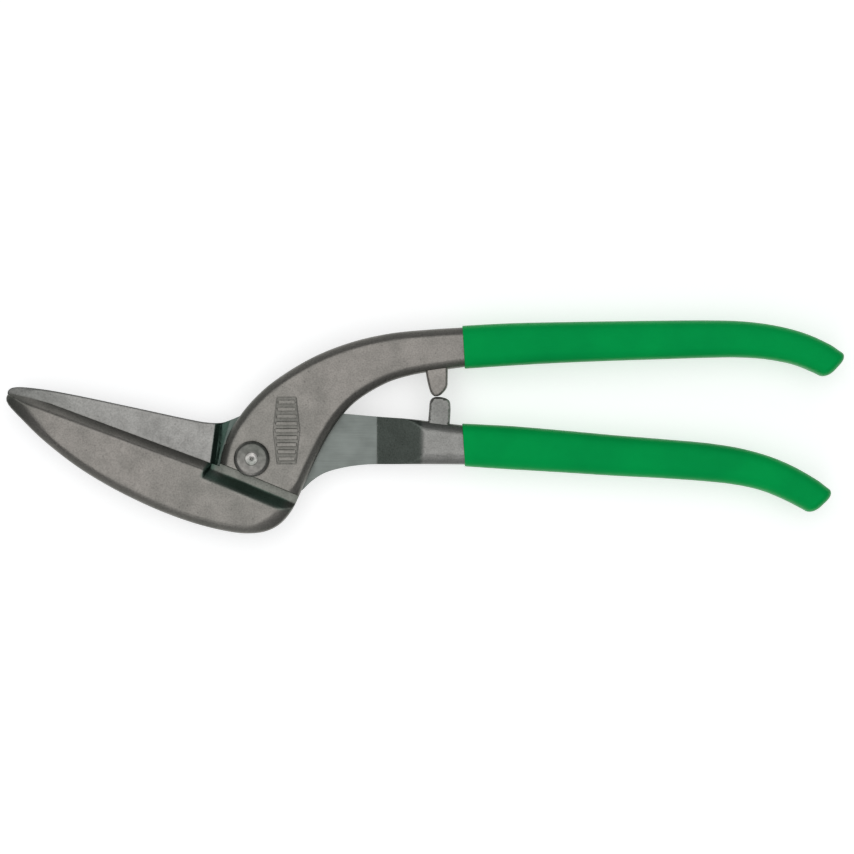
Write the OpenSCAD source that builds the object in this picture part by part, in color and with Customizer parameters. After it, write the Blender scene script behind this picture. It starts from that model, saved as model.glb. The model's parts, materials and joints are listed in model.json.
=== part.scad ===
// Pelican snips: two forged levers that cross at one bolted pivot, each a jaw at one end
// and a dipped handle at the other. The tool lies flat: X runs from the jaws to the handles,
// Y across the handles, and Z is the pivot's axis. The origin is the centre of the pivot
// bolt's end face, which is the lowest point. All sizes are in millimetres.

/* [Forgings] */
// Height of the front faces above the shear plane
face_h = 5; // [4.5:0.1:5.5]
// Depth of the back faces below the shear plane
back_h = 5.2; // [4.8:0.1:5.6]
// Depth of the lap faces at the joint below the shear plane
lap_d = 1.6; // [1.2:0.1:2]
// Running gap between the two levers
lap_gap = 0.1; // [0.06:0.02:0.2]
// Width of the broken edge along the forged outlines
edge_w = 2.2; // [1.6:0.1:2.6]

/* [Blades] */
// Angle of the cutting line below the X axis
cut_angle = 20.3; // [19.5:0.1:21]
// Distance from the pivot to the lower jaw's cutting line
cut_drop = 6.7; // [6.5:0.1:7]
// Width of the ground bevel behind each cutting edge
bevel_w = 3.4; // [2.8:0.1:3.8]
// Height of the land left at each cutting edge
edge_land = 0.5; // [0.3:0.1:0.8]
// How far the upper blade passes the lower one when closed
blade_overlap = 2.1; // [1.6:0.1:2.4]

/* [Sheet channel] */
// Angle of the channel below the X axis
channel_angle = 22.5; // [22:0.5:23.5]
// Distance from the pivot to the channel's upper wall
channel_drop = 5.75; // [5.6:0.05:6]
// Width of the channel's floor
floor_w = 3.3; // [3:0.1:3.6]
// Width of the slope up to the lower jaw's face
slope_w = 4.2; // [3.8:0.1:4.6]
// Height of the channel's floor above the shear plane
floor_h = 1; // [0.8:0.1:1.6]

/* [Pivot] */
// Radius of the bolt's shank
shank_r = 4.5; // [4.3:0.1:4.7]
// Running clearance round the shank
shank_gap = 0.05; // [0.03:0.01:0.08]
// Radius of the bolt's head
head_r = 6.4; // [6:0.1:6.8]
// Height of the bolt's head
head_h = 2.4; // [2:0.1:2.8]
// Width across the two flats that key the bolt into the rear lever
key_w = 7.6; // [7.2:0.1:8]
// Radius of the bolt's thread
thread_r = 4; // [3.9:0.05:4]
// Width of the nut across its flats
nut_w = 13; // [12.5:0.5:13.5]
// Height of the nut
nut_h = 6; // [5.6:0.2:6.4]
// Height of the conical spring washer
washer_h = 1; // [0.9:0.05:1.1]

/* [Grips] */
// Thickness of the dipped coating
dip_t = 0.8; // [0.6:0.1:1]
// Width of the broken edge along the coating
grip_edge_w = 2.6; // [2:0.1:2.8]

/* [Hidden] */
$fn = 64;

clear = 30;              // reach of a cutter past the solid, in height
far = 120;               // reach of a cutter past the solid, in plan
bite = 0.3;              // overlap of two shapes that join as one solid
bolt_tail = 0.8;         // thread that stands out of the nut
thread_gap = 0.05;       // radial gap between thread and nut
ring_r = 4.86;           // radius of the nut's locking ring
ring_pocket_h = 1.6;     // depth of the pocket that holds it
seat_gap = 0.04;         // axial gap under the head and between the nut's pieces
shear_h = back_h + washer_h + nut_h + bolt_tail;   // shear plane above the resting plane

bevel_end = -13.6;       // end of the lower jaw's cutting line towards the pivot
jaw_tip_x = -85;         // where the broken edges start, behind the jaws' tips
jaw_step_x = -12;        // left end of the front lever's thick joint
ramp_x = [44.5, 62];     // where each handle swells from its lap face to full thickness
stop_h = 3;              // half the thickness of the two handle stops
lap_run = 10;            // how far the rear lap face runs level ahead of its swell
curve_steps = 6;         // samples between two outline points
bar_steps = 4;           // samples between two stations of a handle bar
end_cap = 2.6;           // how far a handle's rounded end bulges
end_slant = 1.7;         // how far the upper side of that end runs on past its middle

// Handle bars, measured outside their coating: centre x, centre y, width
upper_bar = [
    [76, 40.0, 15.7], [93, 41.0, 15.4], [111, 41.7, 14.8], [129, 42.2, 14.3], [147, 42.6, 13.9],
    [163, 42.9, 13.5], [175, 42.7, 13.2], [186, 41.5, 12.9], [196, 39.2, 12.7], [203, 36.4, 12.4],
    [206.2, 34.7, 11.6]
];
lower_bar = [
    [76, 4.9, 15.6], [93, 3.9, 15.8], [111, 2.6, 15.3], [129, 1.2, 14.7], [147, 0, 14.1],
    [163, -1.3, 13.8], [174, -2.9, 13.4], [184, -5.6, 13.1], [192, -9, 13], [198.5, -12.4, 12.6],
    [201.4, -14.2, 11.8]
];

// Lower jaw and joint of the front lever, round from the jaw's blunt tip to the grip
front_tip = [
    [-72.8, 19.8], [-79, 21.5], [-84, 22.7], [-87, 23.2], [-87.9, 22.2], [-88, 20.2], [-87.2, 18.8],
    [-84.5, 15.8]
];
front_belly = [
    [-84.5, 15.8], [-75.5, 7], [-61.2, -4], [-43.3, -14.1], [-25.5, -21.6], [-11.2, -25.6],
    [-2.2, -26.8], [4.5, -26.1], [9.5, -23.7], [13.8, -18.9], [17, -12.5], [20.9, -3.8], [26.6, 7.5],
    [31.3, 14.6], [36.5, 20.1], [42.4, 24.2], [49.5, 27.8], [57, 30], [65, 31.4]
];
front_back = [
    [65, 46.4], [49.5, 44.9], [35.3, 41.7], [21, 36], [6.7, 27], [-0.5, 20.3], [-4, 16],
    [-6.6, 12.3], [-8.6, 8.7], [-10, 5.4], [-10.8, 2.4], [-11.4, -0.3], [-11.8, -2.8]
];

// Upper jaw and joint of the rear lever, round from the jaw's tip to the grip and back
rear_top = [
    [-87.7, 23.1], [-87.4, 24.3], [-86.3, 25.3], [-84, 25.7], [-75.5, 24.9], [-64.7, 23], [-43.3, 18.5],
    [-21.9, 13.9], [-16.6, 13], [-11.2, 12.9], [-7.6, 14.1], [-3, 15.9], [4, 17.1], [16, 17.5],
    [30, 16.4], [46, 15], [57, 14.2], [66, 13.1]
];
rear_heel = [
    [65, -2], [50, -2], [40, -2.2], [31.7, -3.4], [25.5, -5.3], [21, -8.2], [17.6, -11.4],
    [13.8, -13.8], [9.4, -13]
];

// Plan of the rear lever's lap face, sunk below its jaw's face
lap_area = [[-12.6, 30], [-12.6, 20], [-15.3, -0.5], [-16.6, -10], [-16.6, -30], [39, -30], [39, 30]];

// Groove ground between the upper jaw's face and the rear lap face
relief = [[-13.4, 14.5], [-8, 15.5], [-11.9, 1.8], [-12.6, -8], [-16.6, -8], [-15.3, -0.5]];
relief_d = 1.3;          // its depth below the lap face

// Stops that meet when the blades are closed
upper_stop = [
    [61.9, 34], [62.4, 30.5], [63.9, 23.6], [65.3, 22.5], [67, 22.9], [68.9, 25.4], [69.9, 29], [69.9, 34]
];
lower_stop = [
    [62.8, 11], [63.3, 17], [63.8, 20.9], [65.2, 22], [68.9, 21.8], [70.6, 20.7], [71, 18.6], [70.6, 11]
];

// Plain ribbed panel struck into the front lever's face
panel_at = [12.4, 10.4];
panel_size = [7, 24];
panel_d = 0.35;
panel_ribs = 9;

// --- curves -----------------------------------------------------------------

function plan(p) = [p.x, p.y];
function knot(a, b) = max(sqrt(norm(plan(b) - plan(a))), 0.01);
function mix(a, b, ta, tb, t) = a * (tb - t) / (tb - ta) + b * (t - ta) / (tb - ta);

// One point of the centripetal curve between b and c, at the share s of the way
function span_point(a, b, c, d, s) =
    let (t1 = knot(a, b), t2 = t1 + knot(b, c), t3 = t2 + knot(c, d), t = t1 + s * (t2 - t1))
    let (ab = mix(a, b, 0, t1, t), bc = mix(b, c, t1, t2, t), cd = mix(c, d, t2, t3, t))
    mix(mix(ab, bc, 0, t2, t), mix(bc, cd, t1, t3, t), t1, t2, t);

// A smooth curve through the points, with the ends carried straight on
function smooth(p, steps = curve_steps) =
    let (n = len(p), q = concat([2 * p[0] - p[1]], p, [2 * p[n - 1] - p[n - 2]]))
    concat(
        [for (i = [1 : n - 1]) for (k = [0 : steps - 1])
            span_point(q[i - 1], q[i], q[i + 1], q[i + 2], k / steps)],
        [p[n - 1]]
    );

function reversed(p) = [for (i = [len(p) - 1 : -1 : 0]) p[i]];
function joined(a, b) = concat(a, [for (i = [1 : len(b) - 1]) b[i]]);
function unit(v) = v / norm(v);

// The left-hand normal of an open path at point i
function normal_at(p, i) =
    let (v = unit(plan(p[min(i + 1, len(p) - 1)]) - plan(p[max(i - 1, 0)])))
    [-v.y, v.x];

// One edge of a handle bar: side 1 is the upper edge, -1 the lower, moved out by grow
function bar_edge(bar, side, grow) =
    let (c = smooth(bar, bar_steps))
    [for (i = [0 : len(c) - 1]) plan(c[i]) + side * (c[i].z / 2 + grow) * normal_at(c, i)];

// The rounded end of a handle bar, from its lower edge to its upper edge
function bar_end(bar, grow, cap) =
    let (n = len(bar), way = unit(plan(bar[n - 1]) - plan(bar[n - 2])), side = [-way.y, way.x])
    [for (a = [-80 : 20 : 80]) plan(bar[n - 1]) + way * (cap * cos(a) + end_slant * (1 + sin(a)))
        + side * (bar[n - 1].z / 2 + grow) * sin(a)];

// The plan outline of a handle bar, moved out by grow
function bar_plan(bar, grow, cap) =
    concat(bar_edge(bar, -1, grow), bar_end(bar, grow, cap), reversed(bar_edge(bar, 1, grow)));

// The point at distance d below the pivot on a line at the given angle, u along it
function on_line(angle, d, u) = [u * cos(angle) - d * sin(angle), -u * sin(angle) - d * cos(angle)];

front_lower_edge = joined(smooth(concat(front_belly, [bar_edge(upper_bar, -1, -dip_t)[0]])),
    bar_edge(upper_bar, -1, -dip_t));
front_upper_edge = joined(reversed(bar_edge(upper_bar, 1, -dip_t)),
    smooth(concat([bar_edge(upper_bar, 1, -dip_t)[0]], front_back)));
front_edge = concat(front_lower_edge, bar_end(upper_bar, -dip_t, end_cap - dip_t), front_upper_edge);
front_outline = joined(smooth(front_tip), front_edge);

rear_upper_edge = joined(smooth(concat(rear_top, [bar_edge(lower_bar, 1, -dip_t)[0]])),
    bar_edge(lower_bar, 1, -dip_t));
rear_lower_edge = joined(reversed(bar_edge(lower_bar, -1, -dip_t)),
    smooth(concat([bar_edge(lower_bar, -1, -dip_t)[0]], rear_heel)));
rear_edge = reversed(concat(rear_upper_edge, reversed(bar_end(lower_bar, -dip_t, end_cap - dip_t)),
    rear_lower_edge));
rear_outline = concat([on_line(cut_angle, cut_drop + blade_overlap, 4)], rear_edge);

// --- shared shapes ------------------------------------------------------------

module placed() translate([0, 0, shear_h]) children();

// A solid between two heights above the shear plane
module layer(low, high) translate([0, 0, low]) linear_extrude(high - low) children();

// A cutter whose profile, in distance across and height, runs along a line below the pivot
module along_line(angle, drop, from, to, profile)
    rotate([0, 0, -angle]) translate([from, -drop, 0]) rotate([90, 0, 90]) linear_extrude(to - from)
        polygon(profile);

// A cutter whose profile, in x and height, runs right across the tool
module across(profile) translate([0, far, 0]) rotate([90, 0, 0]) linear_extrude(2 * far) polygon(profile);

// Cuts a broken edge along an open path with the solid on its left,
// at height z: up is 1 on a front face and -1 on a back face
module edge_break(path, z, up, w = edge_w) {
    out = 0.6;
    overlap = 0.25;
    for (i = [0 : len(path) - 2]) {
        run = path[i + 1] - path[i];
        translate([path[i].x, path[i].y, z]) rotate([0, 0, atan2(run.y, run.x)]) translate([-overlap, 0, 0])
            rotate([90, 0, 90]) linear_extrude(norm(run) + 2 * overlap)
                polygon([[w + out, up * out], [-out, up * out], [-out, -up * (w + out)]]);
    }
}

// Every third point of an edge, from a position along the tool to the grip's end
function stretch(path, from) = [for (i = [0 : 3 : len(path) - 1]) if (path[i].x > from) path[i]];

// --- levers -------------------------------------------------------------------

module pivot_bore() layer(-clear, clear) circle(shank_r + shank_gap);

module keyed_bore(gap) layer(-clear, clear) intersection() {
    circle(shank_r + gap);
    square([key_w + 2 * gap, 4 * shank_r], center = true);
}

module ribbed_panel() translate([panel_at.x, panel_at.y, face_h - panel_d]) {
    pitch = panel_size.y / panel_ribs;
    for (i = [0 : panel_ribs - 1])
        translate([-panel_size.x / 2, -panel_size.y / 2 + i * pitch, 0])
            cube([panel_size.x, pitch / 2, clear]);
}

module lower_jaw_lever() {
    color("dimgray") placed() union() {
        layer(-stop_h, stop_h) polygon(smooth(upper_stop));
        difference() {
            layer(-back_h, face_h) polygon(front_outline);
            across([
                [-far, -clear], [-far, lap_gap / 2], [jaw_step_x, lap_gap / 2],
                [jaw_step_x, lap_gap / 2 - lap_d], [ramp_x[0], lap_gap / 2 - lap_d],
                [ramp_x[1], -back_h], [ramp_x[1], -clear]
            ]);
            along_line(cut_angle, cut_drop, -far, bevel_end, [
                [2, edge_land], [0, edge_land], [-bevel_w, face_h], [-bevel_w, clear], [2, clear]
            ]);
            along_line(channel_angle, channel_drop, bevel_end - 1, 40, [
                [0, clear], [0, floor_h], [-floor_w, floor_h], [-floor_w - slope_w, face_h],
                [-floor_w - slope_w, clear]
            ]);
            pivot_bore();
            ribbed_panel();
            edge_break(stretch(front_edge, jaw_tip_x), face_h, 1);
            edge_break(stretch(front_edge, ramp_x[0] + 2), -back_h, -1);
        }
    }
}

module upper_jaw_lever() {
    color("dimgray") placed() union() {
        layer(-stop_h, stop_h) polygon(smooth(lower_stop));
        difference() {
            layer(-back_h, face_h) polygon(rear_outline);
            across([
                [-far, clear], [-far, -lap_gap / 2], [ramp_x[0] - lap_run, -lap_gap / 2],
                [ramp_x[0] - lap_run, -lap_d - lap_gap / 2], [ramp_x[0], -lap_d - lap_gap / 2],
                [ramp_x[1], face_h], [ramp_x[1], clear]
            ]);
            layer(-lap_d - lap_gap / 2, clear) polygon(lap_area);
            layer(-lap_d - relief_d, 0) polygon(relief);
            along_line(cut_angle, cut_drop + blade_overlap, -far, jaw_step_x, [
                [-2, -edge_land], [0, -edge_land], [bevel_w, -back_h], [bevel_w, -clear], [-2, -clear]
            ]);
            keyed_bore(shank_gap);
            edge_break(stretch(rear_edge, jaw_tip_x), -back_h, -1);
            edge_break(stretch(rear_edge, ramp_x[0] + 2), face_h, 1);
        }
    }
}

// --- grips --------------------------------------------------------------------

module grip(bar) {
    fit = 0.05;
    corner_room = 0.6;
    skin = bar_plan(bar, 0, end_cap);
    mouth = bar[0] + 0.1 * (bar[0] - bar[1]);
    core = bar_plan(concat([mouth], bar), fit - dip_t, end_cap - dip_t + fit);
    color("green") placed() difference() {
        layer(-back_h - dip_t, face_h + dip_t) polygon(skin);
        difference() {
            layer(-back_h - fit, face_h + fit) polygon(core);
            edge_break(stretch(core, 0), face_h + fit, 1, edge_w - corner_room);
            edge_break(stretch(core, 0), -back_h - fit, -1, edge_w - corner_room);
        }
        edge_break(stretch(skin, 0), face_h + dip_t, 1, grip_edge_w);
        edge_break(stretch(skin, 0), -back_h - dip_t, -1, grip_edge_w);
    }
}

// --- pivot --------------------------------------------------------------------

module pivot_bolt() {
    rim_w = 1.25;
    rim_h = 1.5;
    dimple_r = 2.2;
    dimple_d = 0.35;
    hole_r = 0.8;
    hole_d = 1.3;
    seat = face_h + seat_gap;
    top = seat + head_h;
    screw_r = thread_r - thread_gap;
    point = 0.4;
    color("gray") placed() {
        rotate_extrude() polygon(concat(
            [[0, seat], [head_r, seat]],
            [for (a = [0 : 15 : 90]) [head_r - rim_w * (1 - cos(a)), top - rim_h * (1 - sin(a))]],
            [[dimple_r, top], [hole_r, top - dimple_d], [hole_r, top - hole_d], [0, top - hole_d - hole_r / 3]]
        ));
        layer(-lap_d, seat + bite) circle(shank_r);
        intersection() {
            layer(-back_h + 0.2, -lap_d) circle(shank_r);
            cube([key_w, 4 * shank_r, 4 * clear], center = true);
        }
        layer(point - shear_h, bite - back_h) circle(screw_r);
        translate([0, 0, -shear_h]) cylinder(h = point, r1 = screw_r - point, r2 = screw_r);
    }
}

module spring_washer() {
    washer_r = 8;
    wall = 0.8;
    color("silver") translate([0, 0, bolt_tail + nut_h + seat_gap]) rotate_extrude() polygon([
        [thread_r + 0.1, 0], [washer_r - 0.2, washer_h - wall], [washer_r, washer_h - 2 * seat_gap],
        [thread_r + 0.3, wall]
    ]);
}

module lock_nut() {
    hex_r = nut_w / 2 / cos(30);
    collar_r = hex_r - 1.6;
    collar_h = 1.2;
    crest_r = hex_r + 0.1;
    chamfer_w = 0.8;
    chamfer_h = 0.5;
    color("silver") translate([0, 0, bolt_tail]) difference() {
        intersection() {
            rotate([0, 0, 15]) cylinder(h = nut_h, r = hex_r, $fn = 6);
            rotate_extrude() polygon([
                [0, 0], [collar_r - 0.6, 0], [collar_r, collar_h], [collar_r + 1, collar_h + 0.6],
                [crest_r, collar_h + 1.1], [crest_r, nut_h - chamfer_h], [crest_r - chamfer_w, nut_h],
                [0, nut_h]
            ]);
        }
        translate([0, 0, -clear]) cylinder(h = 2 * clear, r = thread_r);
        translate([0, 0, -1]) cylinder(h = ring_pocket_h + 1, r = ring_r + seat_gap);
    }
}

module lock_ring() {
    recess = 0.15;
    color("white") translate([0, 0, bolt_tail + recess]) difference() {
        cylinder(h = ring_pocket_h - recess - seat_gap, r = ring_r);
        translate([0, 0, -clear]) cylinder(h = 2 * clear, r = thread_r);
    }
}

lower_jaw_lever();
upper_jaw_lever();
grip(upper_bar);  // upper_grip
grip(lower_bar);  // lower_grip
pivot_bolt();
spring_washer();
lock_nut();
lock_ring();
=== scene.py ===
"""Looks of the pelican snips: two drop forgings, a pivot bolt set and two dipped grips.

Plan sizes are in millimetres from the pivot's axis, heights in millimetres from the shear plane
in which the two blades slide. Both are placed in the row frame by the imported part's own boxes.
"""

import json
import logging
import math
from collections.abc import Callable, Sequence
from dataclasses import dataclass, field
from enum import Enum

import bpy
import numpy as np
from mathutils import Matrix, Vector
from mathutils.geometry import delaunay_2d_cdt


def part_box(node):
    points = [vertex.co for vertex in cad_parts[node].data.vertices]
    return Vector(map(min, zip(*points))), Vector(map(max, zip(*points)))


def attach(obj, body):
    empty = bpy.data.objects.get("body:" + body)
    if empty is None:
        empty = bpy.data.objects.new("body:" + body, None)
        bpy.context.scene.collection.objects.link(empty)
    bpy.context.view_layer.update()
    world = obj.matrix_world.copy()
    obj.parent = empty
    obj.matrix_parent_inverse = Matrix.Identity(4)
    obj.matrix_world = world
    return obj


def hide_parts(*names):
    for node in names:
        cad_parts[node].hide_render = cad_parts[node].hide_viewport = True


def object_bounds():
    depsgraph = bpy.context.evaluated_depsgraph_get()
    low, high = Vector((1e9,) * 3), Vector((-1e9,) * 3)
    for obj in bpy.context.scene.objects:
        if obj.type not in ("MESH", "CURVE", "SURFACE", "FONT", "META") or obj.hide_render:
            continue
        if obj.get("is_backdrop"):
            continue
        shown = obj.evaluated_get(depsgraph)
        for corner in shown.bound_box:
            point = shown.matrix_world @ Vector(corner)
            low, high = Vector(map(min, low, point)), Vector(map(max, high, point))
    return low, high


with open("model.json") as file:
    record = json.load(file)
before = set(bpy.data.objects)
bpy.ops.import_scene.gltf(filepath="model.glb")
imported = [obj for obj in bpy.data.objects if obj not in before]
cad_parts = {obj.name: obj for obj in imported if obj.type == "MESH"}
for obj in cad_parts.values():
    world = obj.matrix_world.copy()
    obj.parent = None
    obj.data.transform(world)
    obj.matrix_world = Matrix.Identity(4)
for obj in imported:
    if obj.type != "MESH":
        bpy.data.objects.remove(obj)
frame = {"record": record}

log = logging.getLogger("pelican_snips")

MM = 0.001
# the vertex colour that carries stains and painted shade
STAIN_AND_SHADE = "stain_and_shade"
MAP, MIX, MATH, VECTOR = "ShaderNodeMapRange", "ShaderNodeMix", "ShaderNodeMath", "ShaderNodeVectorMath"
Points = Sequence[tuple[float, float]]
Heights = Callable[[np.ndarray], np.ndarray]


class Body(Enum):
    """The two halves that turn about the pivot."""

    REAR = "rear_half"
    FRONT = "front_half"


class Zone(Enum):
    """How a stretch of a forging was finished, which is also its material's place on the mesh."""

    FORGED = 0
    GROUND = 1
    BEVEL = 2


# --- curves ---------------------------------------------------------------------------------


def smooth_path(points: Points, steps: int = 8) -> np.ndarray:
    """Runs a centripetal Catmull-Rom curve through points.

    Args:
        points: the places the curve passes through, in order.
        steps: samples between two of them.

    Returns:
        The samples as an (n, 2) array, ends included.
    """
    p = np.asarray(points, float)
    q = np.vstack([2 * p[0] - p[1], p, 2 * p[-1] - p[-2]])
    out = []
    for a, b, c, d in zip(q[:-3], q[1:-2], q[2:-1], q[3:], strict=True):
        t1 = math.sqrt(max(np.linalg.norm(b - a), 1e-4))
        t2 = t1 + math.sqrt(max(np.linalg.norm(c - b), 1e-4))
        t3 = t2 + math.sqrt(max(np.linalg.norm(d - c), 1e-4))
        t = (t1 + (t2 - t1) * np.arange(steps) / steps)[:, None]
        ab = a * (t1 - t) / t1 + b * t / t1
        bc = b * (t2 - t) / (t2 - t1) + c * (t - t1) / (t2 - t1)
        cd = c * (t3 - t) / (t3 - t2) + d * (t - t2) / (t3 - t2)
        abc = ab * (t2 - t) / t2 + bc * t / t2
        bcd = bc * (t3 - t) / (t3 - t1) + cd * (t - t1) / (t3 - t1)
        out.append(abc * (t2 - t) / (t2 - t1) + bcd * (t - t1) / (t2 - t1))
    return np.vstack([*out, p[-1]])


def normals(path: np.ndarray) -> np.ndarray:
    """Gives the left-hand normal of an open path at each of its points.

    Args:
        path: the points.

    Returns:
        Unit vectors, one for each point.
    """
    run = np.gradient(path, axis=0)
    run /= np.linalg.norm(run, axis=1)[:, None]
    return np.column_stack([-run[:, 1], run[:, 0]])


def densify(path: np.ndarray, step: float, closed: bool = False) -> np.ndarray:
    """Divides the long stretches of a path, and keeps all its own points.

    Args:
        path: the points.
        step: the longest stretch that may stay.
        closed: whether the last point joins the first.

    Returns:
        The path with its added points.
    """
    ends = np.roll(path, -1, axis=0) if closed else path[1:]
    starts = path if closed else path[:-1]
    out = []
    for a, b in zip(starts, ends, strict=True):
        n = max(1, math.ceil(np.linalg.norm(b - a) / step))
        out.append(a + (b - a) * (np.arange(n) / n)[:, None])
    return np.vstack(out if closed else [*out, path[-1:]])


def distance_to(xy: np.ndarray, path: np.ndarray) -> np.ndarray:
    """Measures how far points lie from an open path.

    Args:
        xy: the points.
        path: the path's own points.

    Returns:
        The shortest distance of each point.
    """
    best = np.full(len(xy), np.inf)
    for a, b in zip(path[:-1], path[1:], strict=True):
        run = b - a
        t = np.clip(((xy - a) @ run) / max(run @ run, 1e-9), 0, 1)
        gap = xy - a - t[:, None] * run
        best = np.minimum(best, np.einsum("ij,ij->i", gap, gap))
    return np.sqrt(best)


def inside(xy: np.ndarray, loop: np.ndarray) -> np.ndarray:
    """Tells which points lie inside a closed loop.

    Args:
        xy: the points.
        loop: the loop's own points, with the first one not repeated.

    Returns:
        True for each point inside.
    """
    hit = np.zeros(len(xy), bool)
    for a, b in zip(loop, np.roll(loop, -1, axis=0), strict=True):
        if a[1] == b[1]:
            continue
        crosses = (a[1] > xy[:, 1]) != (b[1] > xy[:, 1])
        hit ^= crosses & (xy[:, 0] < (b[0] - a[0]) * (xy[:, 1] - a[1]) / (b[1] - a[1]) + a[0])
    return hit


def circle(radius: float, count: int) -> np.ndarray:
    """Gives the points of a circle about the pivot."""
    a = np.linspace(0, 2 * math.pi, count, endpoint=False)
    return radius * np.column_stack([np.cos(a), np.sin(a)])


def soft_min(a: np.ndarray, b: np.ndarray, blend: float) -> np.ndarray:
    """Takes the lower of two heights, with a fillet where they cross.

    Args:
        a: one height.
        b: the other height.
        blend: about how large the fillet is.

    Returns:
        The blended height.
    """
    h = np.clip(0.5 + 0.5 * (b - a) / blend, 0, 1)
    return b + (a - b) * h - blend * h * (1 - h)


def soft_max(a: np.ndarray, b: np.ndarray, blend: float) -> np.ndarray:
    """Takes the higher of two heights, with a fillet of about that size where they cross."""
    return -soft_min(-a, -b, blend)


def ease(x: np.ndarray, start: float, end: float) -> np.ndarray:
    """Rises smoothly from 0 at start to 1 at end."""
    t = np.clip((x - start) / (end - start), 0, 1)
    return t * t * (3 - 2 * t)


@dataclass(frozen=True)
class Line:
    """A straight line in plan, that slopes down towards the handles and passes below the pivot."""

    angle: float
    drop: float

    def below(self, xy: np.ndarray) -> np.ndarray:
        """Gives how far points lie below the line."""
        a = math.radians(self.angle)
        return -(xy[:, 0] * math.sin(a) + xy[:, 1] * math.cos(a)) - self.drop

    def along(self, xy: np.ndarray) -> np.ndarray:
        """Gives how far points lie along the line from the pivot, positive towards the handles."""
        a = math.radians(self.angle)
        return xy[:, 0] * math.cos(a) - xy[:, 1] * math.sin(a)

    def row(self, shift: float, start: float, end: float) -> np.ndarray:
        """Gives the two ends of a row beside the line.

        Args:
            shift: how far below the line it runs.
            start: how far along the line it starts.
            end: how far along the line it ends.

        Returns:
            The two ends.
        """
        a = math.radians(self.angle)
        way = np.array([math.cos(a), -math.sin(a)])
        down = np.array([-math.sin(a), -math.cos(a)])
        return np.array([start * way, end * way]) + (self.drop + shift) * down


def side_of(xy: np.ndarray, a: tuple[float, float], b: tuple[float, float]) -> np.ndarray:
    """Measures how far points lie to the right of a line.

    Args:
        xy: the points.
        a: a place on the line.
        b: another place on it, further along.

    Returns:
        The distances, negative to the left.
    """
    run = np.subtract(b, a) / math.dist(a, b)
    gap = xy - np.asarray(a)
    return gap[:, 0] * run[1] - gap[:, 1] * run[0]


# --- meshes ---------------------------------------------------------------------------------


@dataclass
class Mesh:
    """A mesh in the making: vertices in millimetres with their stain and painted shade, and faces with their
    material place.
    """

    verts: list[tuple[float, float, float]] = field(default_factory=list)
    faces: list[tuple[int, ...]] = field(default_factory=list)
    zones: list[int] = field(default_factory=list)
    stain_and_shade: list[np.ndarray] = field(default_factory=list)

    def add(self, verts: np.ndarray, faces: Sequence[tuple[int, ...]], zones: Sequence[int] | int,
            stain_and_shade: np.ndarray | None = None) -> None:
        """Adds a shell.

        Args:
            verts: its vertices.
            faces: its faces, by its own vertex numbers.
            zones: one material place for all, or one for each face.
            stain_and_shade: the share of each colour that the stain and painted shade on each vertex let
                through, or none anywhere.
        """
        base = len(self.verts)
        self.stain_and_shade.append(np.ones((len(verts), 3)) if stain_and_shade is None else stain_and_shade)
        self.verts += [tuple(v) for v in verts]
        self.faces += [tuple(base + i for i in f) for f in faces]
        self.zones += [zones] * len(faces) if isinstance(zones, int) else list(zones)

    def build(self, name: str, place: "Place", crease: float = 38) -> bpy.types.Object:
        """Makes the Blender object.

        Args:
            name: the piece's name.
            place: puts the shear plane's heights in the row frame.
            crease: the angle in degrees above which an edge stays sharp.

        Returns:
            The object, linked to the scene.
        """
        mesh = bpy.data.meshes.new(name)
        mesh.from_pydata([place.at(v) for v in self.verts], [], self.faces)
        mesh.polygons.foreach_set("material_index", self.zones)
        mesh.polygons.foreach_set("use_smooth", [True] * len(mesh.polygons))
        colour = np.column_stack([np.vstack(self.stain_and_shade), np.ones(len(self.verts))])
        mesh.color_attributes.new(STAIN_AND_SHADE, "FLOAT_COLOR", "POINT").data.foreach_set("color", colour.ravel())
        mesh.validate(clean_customdata=False)
        mesh.set_sharp_from_angle(angle=math.radians(crease))
        mesh.update()
        obj = bpy.data.objects.new(name, mesh)
        bpy.context.scene.collection.objects.link(obj)
        return obj


@dataclass(frozen=True)
class Place:
    """Where the pivot's axis and the shear plane lie in the row frame, and the levels about them."""

    x: float
    y: float
    z: float
    face: float
    back: float
    dip_face: float
    dip_back: float
    tail: float
    head_top: float

    @classmethod
    def from_frame(cls) -> "Place":
        """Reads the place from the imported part's joint and boxes.

        Returns:
            The place.
        """
        x, y, z = frame["record"]["behaviour"]["joints"][0]["pos_m"]
        low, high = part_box("lower_jaw_lever")
        dip_low, dip_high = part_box("upper_grip")
        bolt_low, bolt_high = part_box("pivot_bolt")
        return cls(
            x, y, z,
            face=(high[2] - z) / MM, back=(z - low[2]) / MM,
            dip_face=(dip_high[2] - z) / MM, dip_back=(z - dip_low[2]) / MM,
            tail=(z - bolt_low[2]) / MM, head_top=(bolt_high[2] - z) / MM,
        )

    def at(self, v: Sequence[float]) -> tuple[float, float, float]:
        """Turns a place in millimetres from the pivot into metres in the row frame."""
        return self.x + v[0] * MM, self.y + v[1] * MM, self.z + v[2] * MM


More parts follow.
